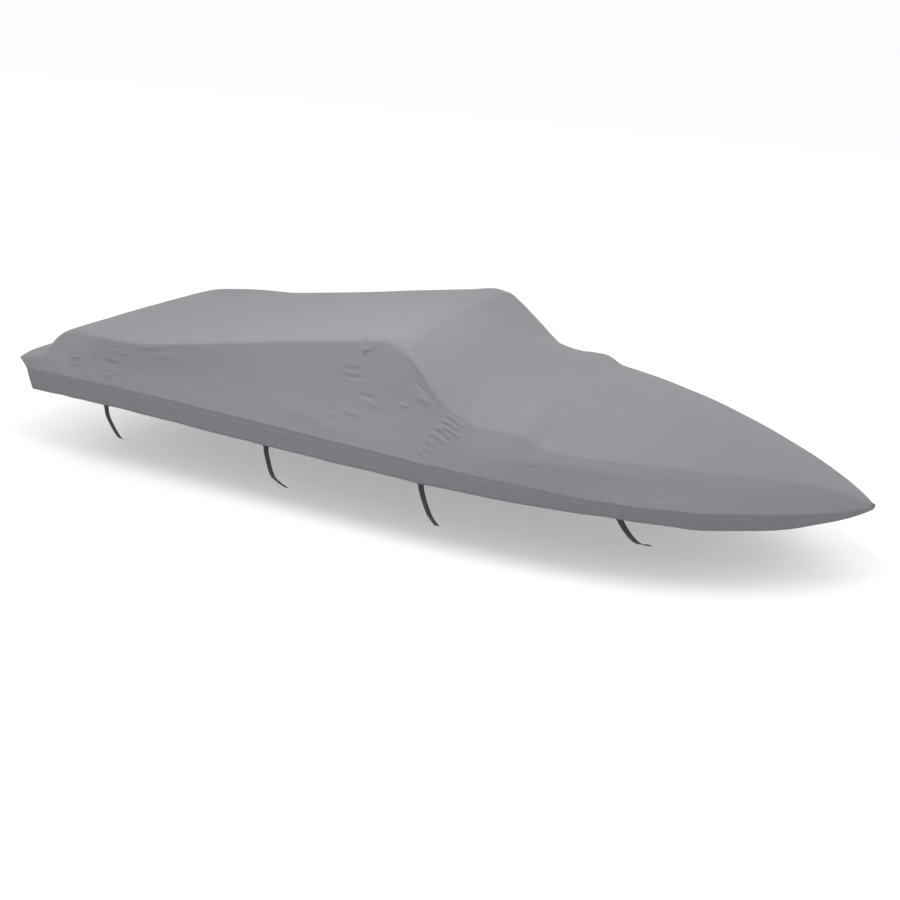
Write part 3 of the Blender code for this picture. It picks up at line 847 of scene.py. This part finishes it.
def make_tie(name, path, along, material):
    """Webbing along a path: a doubled head sewn behind the hem, then a single free end."""
    head = HEAD_ABOVE_HEM + HEAD_BELOW_HEM
    places, at = evenly(path, (head - HEAD_STEP, head + HEAD_STEP))
    points, uvs = [], []
    for k, (point, walked) in enumerate(zip(places, at)):
        run = (places[min(k + 1, len(places) - 1)] - places[max(k - 1, 0)]).normalized()
        in_head = walked < head
        half_width = (HEAD_WIDTH if in_head else WEBBING_WIDTH) / 2
        half_thick = (HEAD_THICK if in_head else WEBBING_THICK) / 2 * WEBBING_REAL
        across = (along - run * along.dot(run)).normalized()
        face = across.cross(run)
        section = webbing_section(half_width, half_thick)
        around = 0.0
        for n, (a, b) in enumerate(section):
            made = point + across * a + face * b
            if n:
                around += (made - points[-1]).length
            points.append(made)
            uvs.append((around, walked))
    count = len(section)
    faces = [tuple(range(count)), tuple(len(points) - count + n for n in range(count))]
    for k in range(len(places) - 1):
        for n in range(count):
            a, b = k * count + n, k * count + (n + 1) % count
            faces.append((a, b, b + count, a + count))
    made = add_mesh(name, points, faces, material, uvs)
    point_outward(made)
    made.data.set_sharp_from_angle(angle=math.radians(60))
    return made, float(at[-1])


# ---- sewing ----
def stitch_tree(material):
    """Geometry nodes that lay stitches along curves; its inputs are the sizes of a stitch."""
    tree = bpy.data.node_groups.new("sewn_row", "GeometryNodeTree")
    face = tree.interface
    face.new_socket("Rows", in_out="INPUT", socket_type="NodeSocketGeometry")
    for title, value in (("Pitch", STITCH_PITCH), ("Length", STITCH_LENGTH), ("Thread", THREAD)):
        face.new_socket(title, in_out="INPUT", socket_type="NodeSocketFloat").default_value = value
    face.new_socket("Stitches", in_out="OUTPUT", socket_type="NodeSocketGeometry")
    nodes, links = tree.nodes, tree.links
    given, out = nodes.new("NodeGroupInput"), nodes.new("NodeGroupOutput")

    spaced = nodes.new("GeometryNodeResampleCurve")
    spaced.mode = "LENGTH"
    links.new(given.outputs["Rows"], spaced.inputs["Curve"])
    links.new(given.outputs["Pitch"], spaced.inputs["Length"])

    stitch = nodes.new("GeometryNodeMeshUVSphere")
    stitch.inputs["Segments"].default_value = 6
    stitch.inputs["Rings"].default_value = 3
    stitch.inputs["Radius"].default_value = 0.5
    size = nodes.new("ShaderNodeCombineXYZ")
    links.new(given.outputs["Length"], size.inputs["X"])
    links.new(given.outputs["Thread"], size.inputs["Y"])
    links.new(given.outputs["Thread"], size.inputs["Z"])
    sized = nodes.new("GeometryNodeTransform")
    links.new(stitch.outputs["Mesh"], sized.inputs["Geometry"])
    links.new(size.outputs["Vector"], sized.inputs["Scale"])

    turn = nodes.new("FunctionNodeAlignRotationToVector")
    turn.axis = "X"
    links.new(nodes.new("GeometryNodeInputTangent").outputs["Tangent"], turn.inputs["Vector"])
    laid = nodes.new("GeometryNodeInstanceOnPoints")
    links.new(spaced.outputs["Curve"], laid.inputs["Points"])
    links.new(sized.outputs["Geometry"], laid.inputs["Instance"])
    links.new(turn.outputs["Rotation"], laid.inputs["Rotation"])

    real = nodes.new("GeometryNodeRealizeInstances")
    soft = nodes.new("GeometryNodeSetShadeSmooth")
    coated = nodes.new("GeometryNodeSetMaterial")
    coated.inputs["Material"].default_value = material
    links.new(laid.outputs["Instances"], real.inputs["Geometry"])
    links.new(real.outputs["Geometry"], soft.inputs["Geometry"])
    links.new(soft.outputs["Geometry"], coated.inputs["Geometry"])
    links.new(coated.outputs["Geometry"], out.inputs["Stitches"])
    return tree


def socket_id(tree, title):
    """The identifier by which a modifier knows one of the tree's inputs."""
    return next(item.identifier for item in tree.interface.items_tree if item.name == title)


def sew(name, rows, tree, pitch=STITCH_PITCH, length=STITCH_LENGTH):
    """Stitches along rows of points as one plain mesh: a row is (points, closed)."""
    curve = bpy.data.curves.new(name + "_rows", "CURVE")
    curve.dimensions = "3D"
    for points, closed in rows:
        spline = curve.splines.new("POLY")
        spline.points.add(len(points) - 1)
        for spot, point in zip(spline.points, points):
            spot.co = (*(point + DATUM), 1.0)
        spline.use_cyclic_u = closed
    guide = bpy.data.objects.new(name + "_rows", curve)
    bpy.context.scene.collection.objects.link(guide)
    work = guide.modifiers.new("sewn_row", "NODES")
    work.node_group = tree
    work[socket_id(tree, "Pitch")] = pitch
    work[socket_id(tree, "Length")] = length
    ready = guide.evaluated_get(bpy.context.evaluated_depsgraph_get())
    mesh = bpy.data.meshes.new_from_object(ready)
    mesh.name = name
    made = bpy.data.objects.new(name, mesh)
    bpy.context.scene.collection.objects.link(made)
    bpy.data.objects.remove(guide, do_unlink=True)
    bpy.data.curves.remove(curve)
    return made


def seam_rows(ring):
    """Two rows of stitches through the body cloth, just above its lower edge."""
    rows = []
    for height in SEAM_ROWS:
        points = [
            point + rise * height - ring_inward(ring, i) * THREAD_PROUD
            for i, (point, _, rise) in enumerate(ring)
        ]
        rows.append((points, True))
    return rows


def hem_rows(ring):
    """Two rows of stitches through the doubled hem."""
    rows = []
    for height in HEM_ROWS:
        points = []
        for i, (_, x, _) in enumerate(ring):
            drop = read_line(HEM, x, 2)
            hem = min(HEM_DEPTH, HEM_SHARE * drop)
            points.append(skirt_place(ring, i, drop - height * hem / HEM_DEPTH, -THREAD_PROUD))
        rows.append((points, True))
    return rows


def box_rows(ring, x, side):
    """The crossed box of stitches that holds a tie's head, on the skirt's outer face."""
    drop = read_line(HEM, x, 2)

    def on_skirt(across, below):
        share = 1.0 - (HEAD_ABOVE_HEM - BOX_MARGIN - below) / drop
        spot, along = hem_place(ring, x + across, side, share)
        return spot - Vector((along.y, -along.x, 0.0)).normalized() * side * THREAD_PROUD

    wide, tall = BOX_WIDTH / 2, BOX_HEIGHT
    corners = ((-wide, 0.0), (wide, 0.0), (wide, tall), (-wide, tall))
    box = [on_skirt(a, b) for a, b in corners]
    crosses = [([box[0], box[2]], False), ([box[1], box[3]], False)]
    return [(box, True)] + crosses


# ---- shader node groups ----
def join(tree, source, target):
    """Links an output socket to an input socket, or sets the input to a plain value."""
    if isinstance(source, bpy.types.NodeSocket):
        tree.links.new(source, target)
    else:
        target.default_value = source


def maths(tree, operation, first, second=0.0, third=0.0):
    """The result of one Math node."""
    node = tree.nodes.new("ShaderNodeMath")
    node.operation = operation
    for socket, value in zip(node.inputs, (first, second, third)):
        join(tree, value, socket)
    return node.outputs[0]


def noise_value(tree, vector, scale, detail, distortion=0.0):
    """A smooth random value from 0 to 1."""
    node = tree.nodes.new("ShaderNodeTexNoise")
    join(tree, vector, node.inputs["Vector"])
    node.inputs["Scale"].default_value = scale
    node.inputs["Detail"].default_value = detail
    node.inputs["Distortion"].default_value = distortion
    return node.outputs["Fac"]


def between(tree, value, low, high):
    """A value from 0 to 1 spread from low to high."""
    node = tree.nodes.new("ShaderNodeMapRange")
    join(tree, value, node.inputs["Value"])
    join(tree, low, node.inputs["To Min"])
    join(tree, high, node.inputs["To Max"])
    return node.outputs["Result"]


def swing(tree, noise, middle, by):
    """middle, lowered and raised by up to this much as the noise goes from 0 to 1."""
    low = maths(tree, "SUBTRACT", middle, by)
    high = maths(tree, "ADD", middle, by)
    return between(tree, noise, low, high)


def new_group(name, inputs, outputs):
    """An empty shader node group with named inputs (name, kind, value) and outputs (name, kind)."""
    tree = bpy.data.node_groups.new(name, "ShaderNodeTree")
    for title, kind, value in inputs:
        socket = tree.interface.new_socket(title, in_out="INPUT", socket_type=kind)
        if value is not None:
            socket.default_value = value
    for title, kind in outputs:
        tree.interface.new_socket(title, in_out="OUTPUT", socket_type=kind)
    return tree, tree.nodes.new("NodeGroupInput").outputs, tree.nodes.new("NodeGroupOutput").inputs


def plain_weave_group():
    """Plain weave over a UV map in metres: the height of the threads and the gaps between them."""
    tree, given, out = new_group(
        "plain_weave",
        (("UV", "NodeSocketVector", None), ("Warp Pitch", "NodeSocketFloat", 0.001),
         ("Weft Pitch", "NodeSocketFloat", 0.001)),
        (("Height", "NodeSocketFloat"), ("Gap", "NodeSocketFloat")),
    )
    parts = tree.nodes.new("ShaderNodeSeparateXYZ")
    tree.links.new(given["UV"], parts.inputs["Vector"])
    waves = []
    for axis, pitch in (("X", "Warp Pitch"), ("Y", "Weft Pitch")):
        turns = maths(tree, "DIVIDE", parts.outputs[axis], given[pitch])
        waves.append(maths(tree, "SINE", maths(tree, "MULTIPLY", turns, math.pi)))
    warp, weft = (maths(tree, "ABSOLUTE", wave) for wave in waves)
    on_top = maths(tree, "GREATER_THAN", maths(tree, "MULTIPLY", *waves), 0.0)
    warp_thread = maths(tree, "MULTIPLY", warp, maths(tree, "SQRT", weft))
    weft_thread = maths(tree, "MULTIPLY", weft, maths(tree, "SQRT", warp))
    above = maths(tree, "MULTIPLY", on_top, warp_thread)
    below = maths(tree, "MULTIPLY", maths(tree, "SUBTRACT", 1.0, on_top), weft_thread)
    height = maths(tree, "ADD", above, below)
    tree.links.new(height, out["Height"])
    tree.links.new(maths(tree, "SUBTRACT", 1.0, maths(tree, "SQRT", height)), out["Gap"])
    return tree


def wear_and_gap_shade_group():
    """Sun fading in wide patches, fine mottling, a little grey dust and painted shade in the gaps between the
    threads.
    """
    tree, given, out = new_group(
        "wear_and_gap_shade",
        (("Color", "NodeSocketColor", None), ("Place", "NodeSocketVector", None),
         ("Gap", "NodeSocketFloat", 0.0), ("Fade", "NodeSocketFloat", 0.06),
         ("Mottle", "NodeSocketFloat", 0.05), ("Gap Shade", "NodeSocketFloat", 0.2),
         ("Roughness", "NodeSocketFloat", 0.8)),
        (("Color", "NodeSocketColor"), ("Roughness", "NodeSocketFloat")),
    )
    wide = noise_value(tree, given["Place"], 0.9, 2.0, 0.4)
    fine = noise_value(tree, given["Place"], 26.0, 5.0, 0.6)
    specks = noise_value(tree, given["Place"], 420.0, 2.0)
    faded = swing(tree, wide, 1.0, given["Fade"])
    mottled = swing(tree, fine, 1.0, given["Mottle"])
    speckled = swing(tree, specks, 1.0, given["Mottle"])
    # Painted shade in the gaps between the threads.
    shaded = maths(tree, "SUBTRACT", 1.0, maths(tree, "MULTIPLY", given["Gap"], given["Gap Shade"]))
    worn = maths(tree, "MULTIPLY", faded, mottled)
    share = maths(tree, "MULTIPLY", worn, maths(tree, "MULTIPLY", speckled, shaded))
    scaled = tree.nodes.new("ShaderNodeVectorMath")
    scaled.operation = "SCALE"
    tree.links.new(given["Color"], scaled.inputs[0])
    tree.links.new(share, scaled.inputs["Scale"])
    tree.links.new(scaled.outputs["Vector"], out["Color"])
    tree.links.new(swing(tree, fine, given["Roughness"], ROUGHNESS_SWING), out["Roughness"])
    return tree


def crumple_group():
    """Height in metres of the small creases that the mesh leaves out, deeper where the cloth is slack."""
    tree, given, out = new_group(
        "crumple",
        (("Place", "NodeSocketVector", None), ("Slack", "NodeSocketFloat", 0.0),
         ("Crease", "NodeSocketFloat", 0.0010), ("Ripple", "NodeSocketFloat", 0.0003)),
        (("Height", "NodeSocketFloat"),),
    )
    stretched = tree.nodes.new("ShaderNodeMapping")
    stretched.inputs["Scale"].default_value = (0.8, 1.0, 1.6)
    stretched.inputs["Rotation"].default_value = (0.0, 0.5, 0.2)
    tree.links.new(given["Place"], stretched.inputs["Vector"])
    crease = noise_value(tree, stretched.outputs["Vector"], 17.0, 3.0, 1.1)
    centred = maths(tree, "MULTIPLY_ADD", crease, 4.0, -2.0)
    ridged = maths(tree, "SUBTRACT", 1.0, maths(tree, "ABSOLUTE", centred))
    deep = maths(tree, "MULTIPLY", maths(tree, "MULTIPLY", ridged, given["Slack"]), given["Crease"])
    ripple = noise_value(tree, given["Place"], 38.0, 3.0, 0.5)
    shallow = maths(tree, "MULTIPLY", ripple, given["Ripple"])
    tree.links.new(maths(tree, "ADD", deep, shallow), out["Height"])
    return tree


def place_group(tree, group, values):
    """One use of a node group with its own values."""
    node = tree.nodes.new("ShaderNodeGroup")
    node.node_tree = group
    for title, value in values.items():
        join(tree, value, node.inputs[title])
    return node.outputs


def start_material(name, specular, sheen, sheen_roughness):
    """A material with its shader, and the node tree to add to."""
    material = bpy.data.materials.new(name)
    material.use_nodes = True
    tree = material.node_tree
    shader = tree.nodes["Principled BSDF"]
    shader.inputs["Specular IOR Level"].default_value = specular
    shader.inputs["Sheen Weight"].default_value = sheen
    shader.inputs["Sheen Roughness"].default_value = sheen_roughness
    return material, tree, shader.inputs


def bumped(tree, height, shader_inputs):
    """Feeds a height in metres to the shader's normal."""
    node = tree.nodes.new("ShaderNodeBump")
    node.inputs["Distance"].default_value = 1.0
    tree.links.new(height, node.inputs["Height"])
    tree.links.new(node.outputs["Normal"], shader_inputs["Normal"])


def cloth_material(name, colour, groups):
    """Coated polyester in plain weave: matte, a little faded, mottled and creased, with painted shade in the
    gaps of the weave.
    """
    material, tree, shader = start_material(name, CLOTH_SPECULAR, CLOTH_SHEEN, CLOTH_SHEEN_ROUGHNESS)
    place_at = tree.nodes.new("ShaderNodeTexCoord").outputs["Object"]
    uv = tree.nodes.new("ShaderNodeUVMap")
    uv.uv_map = "cloth"
    slack = tree.nodes.new("ShaderNodeAttribute")
    slack.attribute_name = "slack"
    weave = place_group(
        tree, groups["plain_weave"],
        {"UV": uv.outputs["UV"], "Warp Pitch": WARP_PITCH, "Weft Pitch": WEFT_PITCH},
    )
    worn = place_group(
        tree, groups["wear_and_gap_shade"],
        {"Color": colour, "Place": place_at, "Gap": weave["Gap"], "Fade": CLOTH_FADE,
         "Mottle": CLOTH_MOTTLE, "Gap Shade": GAP_SHADE, "Roughness": CLOTH_ROUGHNESS},
    )
    creases = place_group(
        tree, groups["crumple"],
        {"Place": place_at, "Slack": slack.outputs["Fac"], "Crease": CREASE, "Ripple": RIPPLE},
    )
    tree.links.new(worn["Color"], shader["Base Color"])
    tree.links.new(worn["Roughness"], shader["Roughness"])
    threads = maths(tree, "MULTIPLY", weave["Height"], THREAD_RELIEF)
    bumped(tree, maths(tree, "ADD", creases["Height"], threads), shader)
    return material


def webbing_material(groups):
    """Black polypropylene webbing: coarse ribs, a dull shine, a little dust and painted shade in the gaps of
    the weave.
    """
    material, tree, shader = start_material("black_webbing", 0.35, 0.25, 0.4)
    place_at = tree.nodes.new("ShaderNodeTexCoord").outputs["Object"]
    uv = tree.nodes.new("ShaderNodeUVMap")
    uv.uv_map = "cloth"
    weave = place_group(
        tree, groups["plain_weave"],
        {"UV": uv.outputs["UV"], "Warp Pitch": WEBBING_WARP, "Weft Pitch": WEBBING_WEFT},
    )
    worn = place_group(
        tree, groups["wear_and_gap_shade"],
        {"Color": BLACK_WEBBING, "Place": place_at, "Gap": weave["Gap"], "Fade": 0.10,
         "Mottle": 0.12, "Gap Shade": 0.5, "Roughness": 0.62},
    )
    tree.links.new(worn["Color"], shader["Base Color"])
    tree.links.new(worn["Roughness"], shader["Roughness"])
    bumped(tree, maths(tree, "MULTIPLY", weave["Height"], WEBBING_RELIEF), shader)
    return material


def thread_material(name, colour, groups):
    """Bonded polyester sewing thread with a twisted lay."""
    material, tree, shader = start_material(name, 0.4, 0.2, 0.4)
    place_at = tree.nodes.new("ShaderNodeTexCoord").outputs["Object"]
    worn = place_group(
        tree, groups["wear_and_gap_shade"],
        {"Color": colour, "Place": place_at, "Gap": 0.0, "Fade": 0.05,
         "Mottle": 0.10, "Gap Shade": 0.0, "Roughness": 0.55},
    )
    tree.links.new(worn["Color"], shader["Base Color"])
    tree.links.new(worn["Roughness"], shader["Roughness"])
    twist = noise_value(tree, place_at, 900.0, 1.0)
    bumped(tree, maths(tree, "MULTIPLY", twist, 0.0002), shader)
    return material


# ---- stage, light and camera ----
def make_floor():
    mesh = bpy.data.meshes.new("studio_floor")
    half = FLOOR_HALF
    corners = [(x * half, y * half, FLOOR_Z) for x, y in ((-1, -1), (1, -1), (1, 1), (-1, 1))]
    mesh.from_pydata(corners, [], [(0, 1, 2, 3)])
    floor = bpy.data.objects.new("studio_floor", mesh)
    bpy.context.scene.collection.objects.link(floor)
    material = bpy.data.materials.new("pale_floor")
    material.use_nodes = True
    shader = material.node_tree.nodes["Principled BSDF"].inputs
    shader["Base Color"].default_value = FLOOR_COLOUR
    shader["Roughness"].default_value = 0.9
    shader["Specular IOR Level"].default_value = 0.1
    shader["Emission Color"].default_value = SKY_COLOUR
    seen = material.node_tree.nodes.new("ShaderNodeLightPath").outputs["Is Camera Ray"]
    glow = between(material.node_tree, seen, 0.0, FLOOR_GLOW)
    material.node_tree.links.new(glow, shader["Emission Strength"])
    mesh.materials.append(material)


def make_lights():
    world = bpy.data.worlds.new("studio")
    bpy.context.scene.world = world
    world.use_nodes = True
    sky = world.node_tree.nodes["Background"].inputs
    sky["Color"].default_value = SKY_COLOUR
    seen = world.node_tree.nodes.new("ShaderNodeLightPath").outputs["Is Camera Ray"]
    world.node_tree.links.new(
        between(world.node_tree, seen, SKY_STRENGTH, BACKDROP_STRENGTH), sky["Strength"]
    )
    lamp = bpy.data.lights.new("key", "AREA")
    lamp.shape = "RECTANGLE"
    lamp.size, lamp.size_y = KEY_SIZE
    lamp.energy = KEY_POWER
    lamp.color = KEY_COLOUR
    key = bpy.data.objects.new("key", lamp)
    key.location = KEY_PLACE
    bpy.context.scene.collection.objects.link(key)
    bpy.context.scene.view_settings.view_transform = "Standard"


def make_camera():
    """A camera at its place, turned by yaw, pitched down and rolled."""
    yaw, pitch, roll = CAMERA_YAW, CAMERA_PITCH, CAMERA_ROLL
    ahead = Vector((-math.sin(yaw) * math.cos(pitch), math.cos(yaw) * math.cos(pitch), -math.sin(pitch)))
    right = ahead.cross(Vector((0.0, 0.0, 1.0))).normalized()
    up = right.cross(ahead)
    right, up = (
        right * math.cos(roll) + up * math.sin(roll),
        up * math.cos(roll) - right * math.sin(roll),
    )
    data = bpy.data.cameras.new("camera")
    data.lens = CAMERA_LENS
    data.sensor_width = SENSOR
    data.clip_end = 500.0
    camera = bpy.data.objects.new("camera", data)
    bpy.context.scene.collection.objects.link(camera)
    turned = Matrix((right, up, -ahead)).transposed().to_4x4()
    camera.matrix_world = Matrix.Translation(Vector(CAMERA_PLACE)) @ turned
    bpy.context.scene.camera = camera


def main():
    make_camera()
    make_lights()
    make_floor()
    groups = {
        "plain_weave": plain_weave_group(),
        "wear_and_gap_shade": wear_and_gap_shade_group(),
        "crumple": crumple_group(),
    }
    cloth = cloth_material("grey_cover_cloth_fine", GREY_CLOTH, groups)
    # The band's material is the body cloth darkened, partly with painted shade of the skirt.
    band = cloth_material("grey_skirt_cloth_and_shade_fine", GREY_BAND_AND_SHADE, groups)
    webbing = webbing_material(groups)
    grey_thread = thread_material("grey_thread", GREY_THREAD, groups)

    grid, slack = body_grid()
    ring = rail_ring(grid)
    body = make_body(grid, slack, cloth)
    skirt = make_skirt(ring, band)

    tree = stitch_tree(grey_thread)
    seam = sew("rail_seam_sewing", seam_rows(ring), tree)
    hem = sew("hem_sewing", hem_rows(ring), tree)
    boxes = []
    for side, side_name in ((STARBOARD, "starboard"), (PORT, "port")):
        for name, x, route in TIES:
            path, along = tie_path(ring, x, side, route)
            title = f"tie_{side_name}_{name}"
            tie, length = make_tie(title + "_webbing", path, along, webbing)
            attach(tie, "root")
            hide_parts(title)
            boxes += box_rows(ring, x, side)
    head_boxes = sew("tie_head_sewing", boxes, tree, BOX_PITCH, BOX_STITCH)

    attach(body, "root")
    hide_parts("body_cloth")
    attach(skirt, "root")
    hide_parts("skirt_band")
    for sewing, slot in ((seam, "cover_cloth"), (hem, "skirt_cloth"), (head_boxes, "skirt_cloth")):
        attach(sewing, "root")


main()
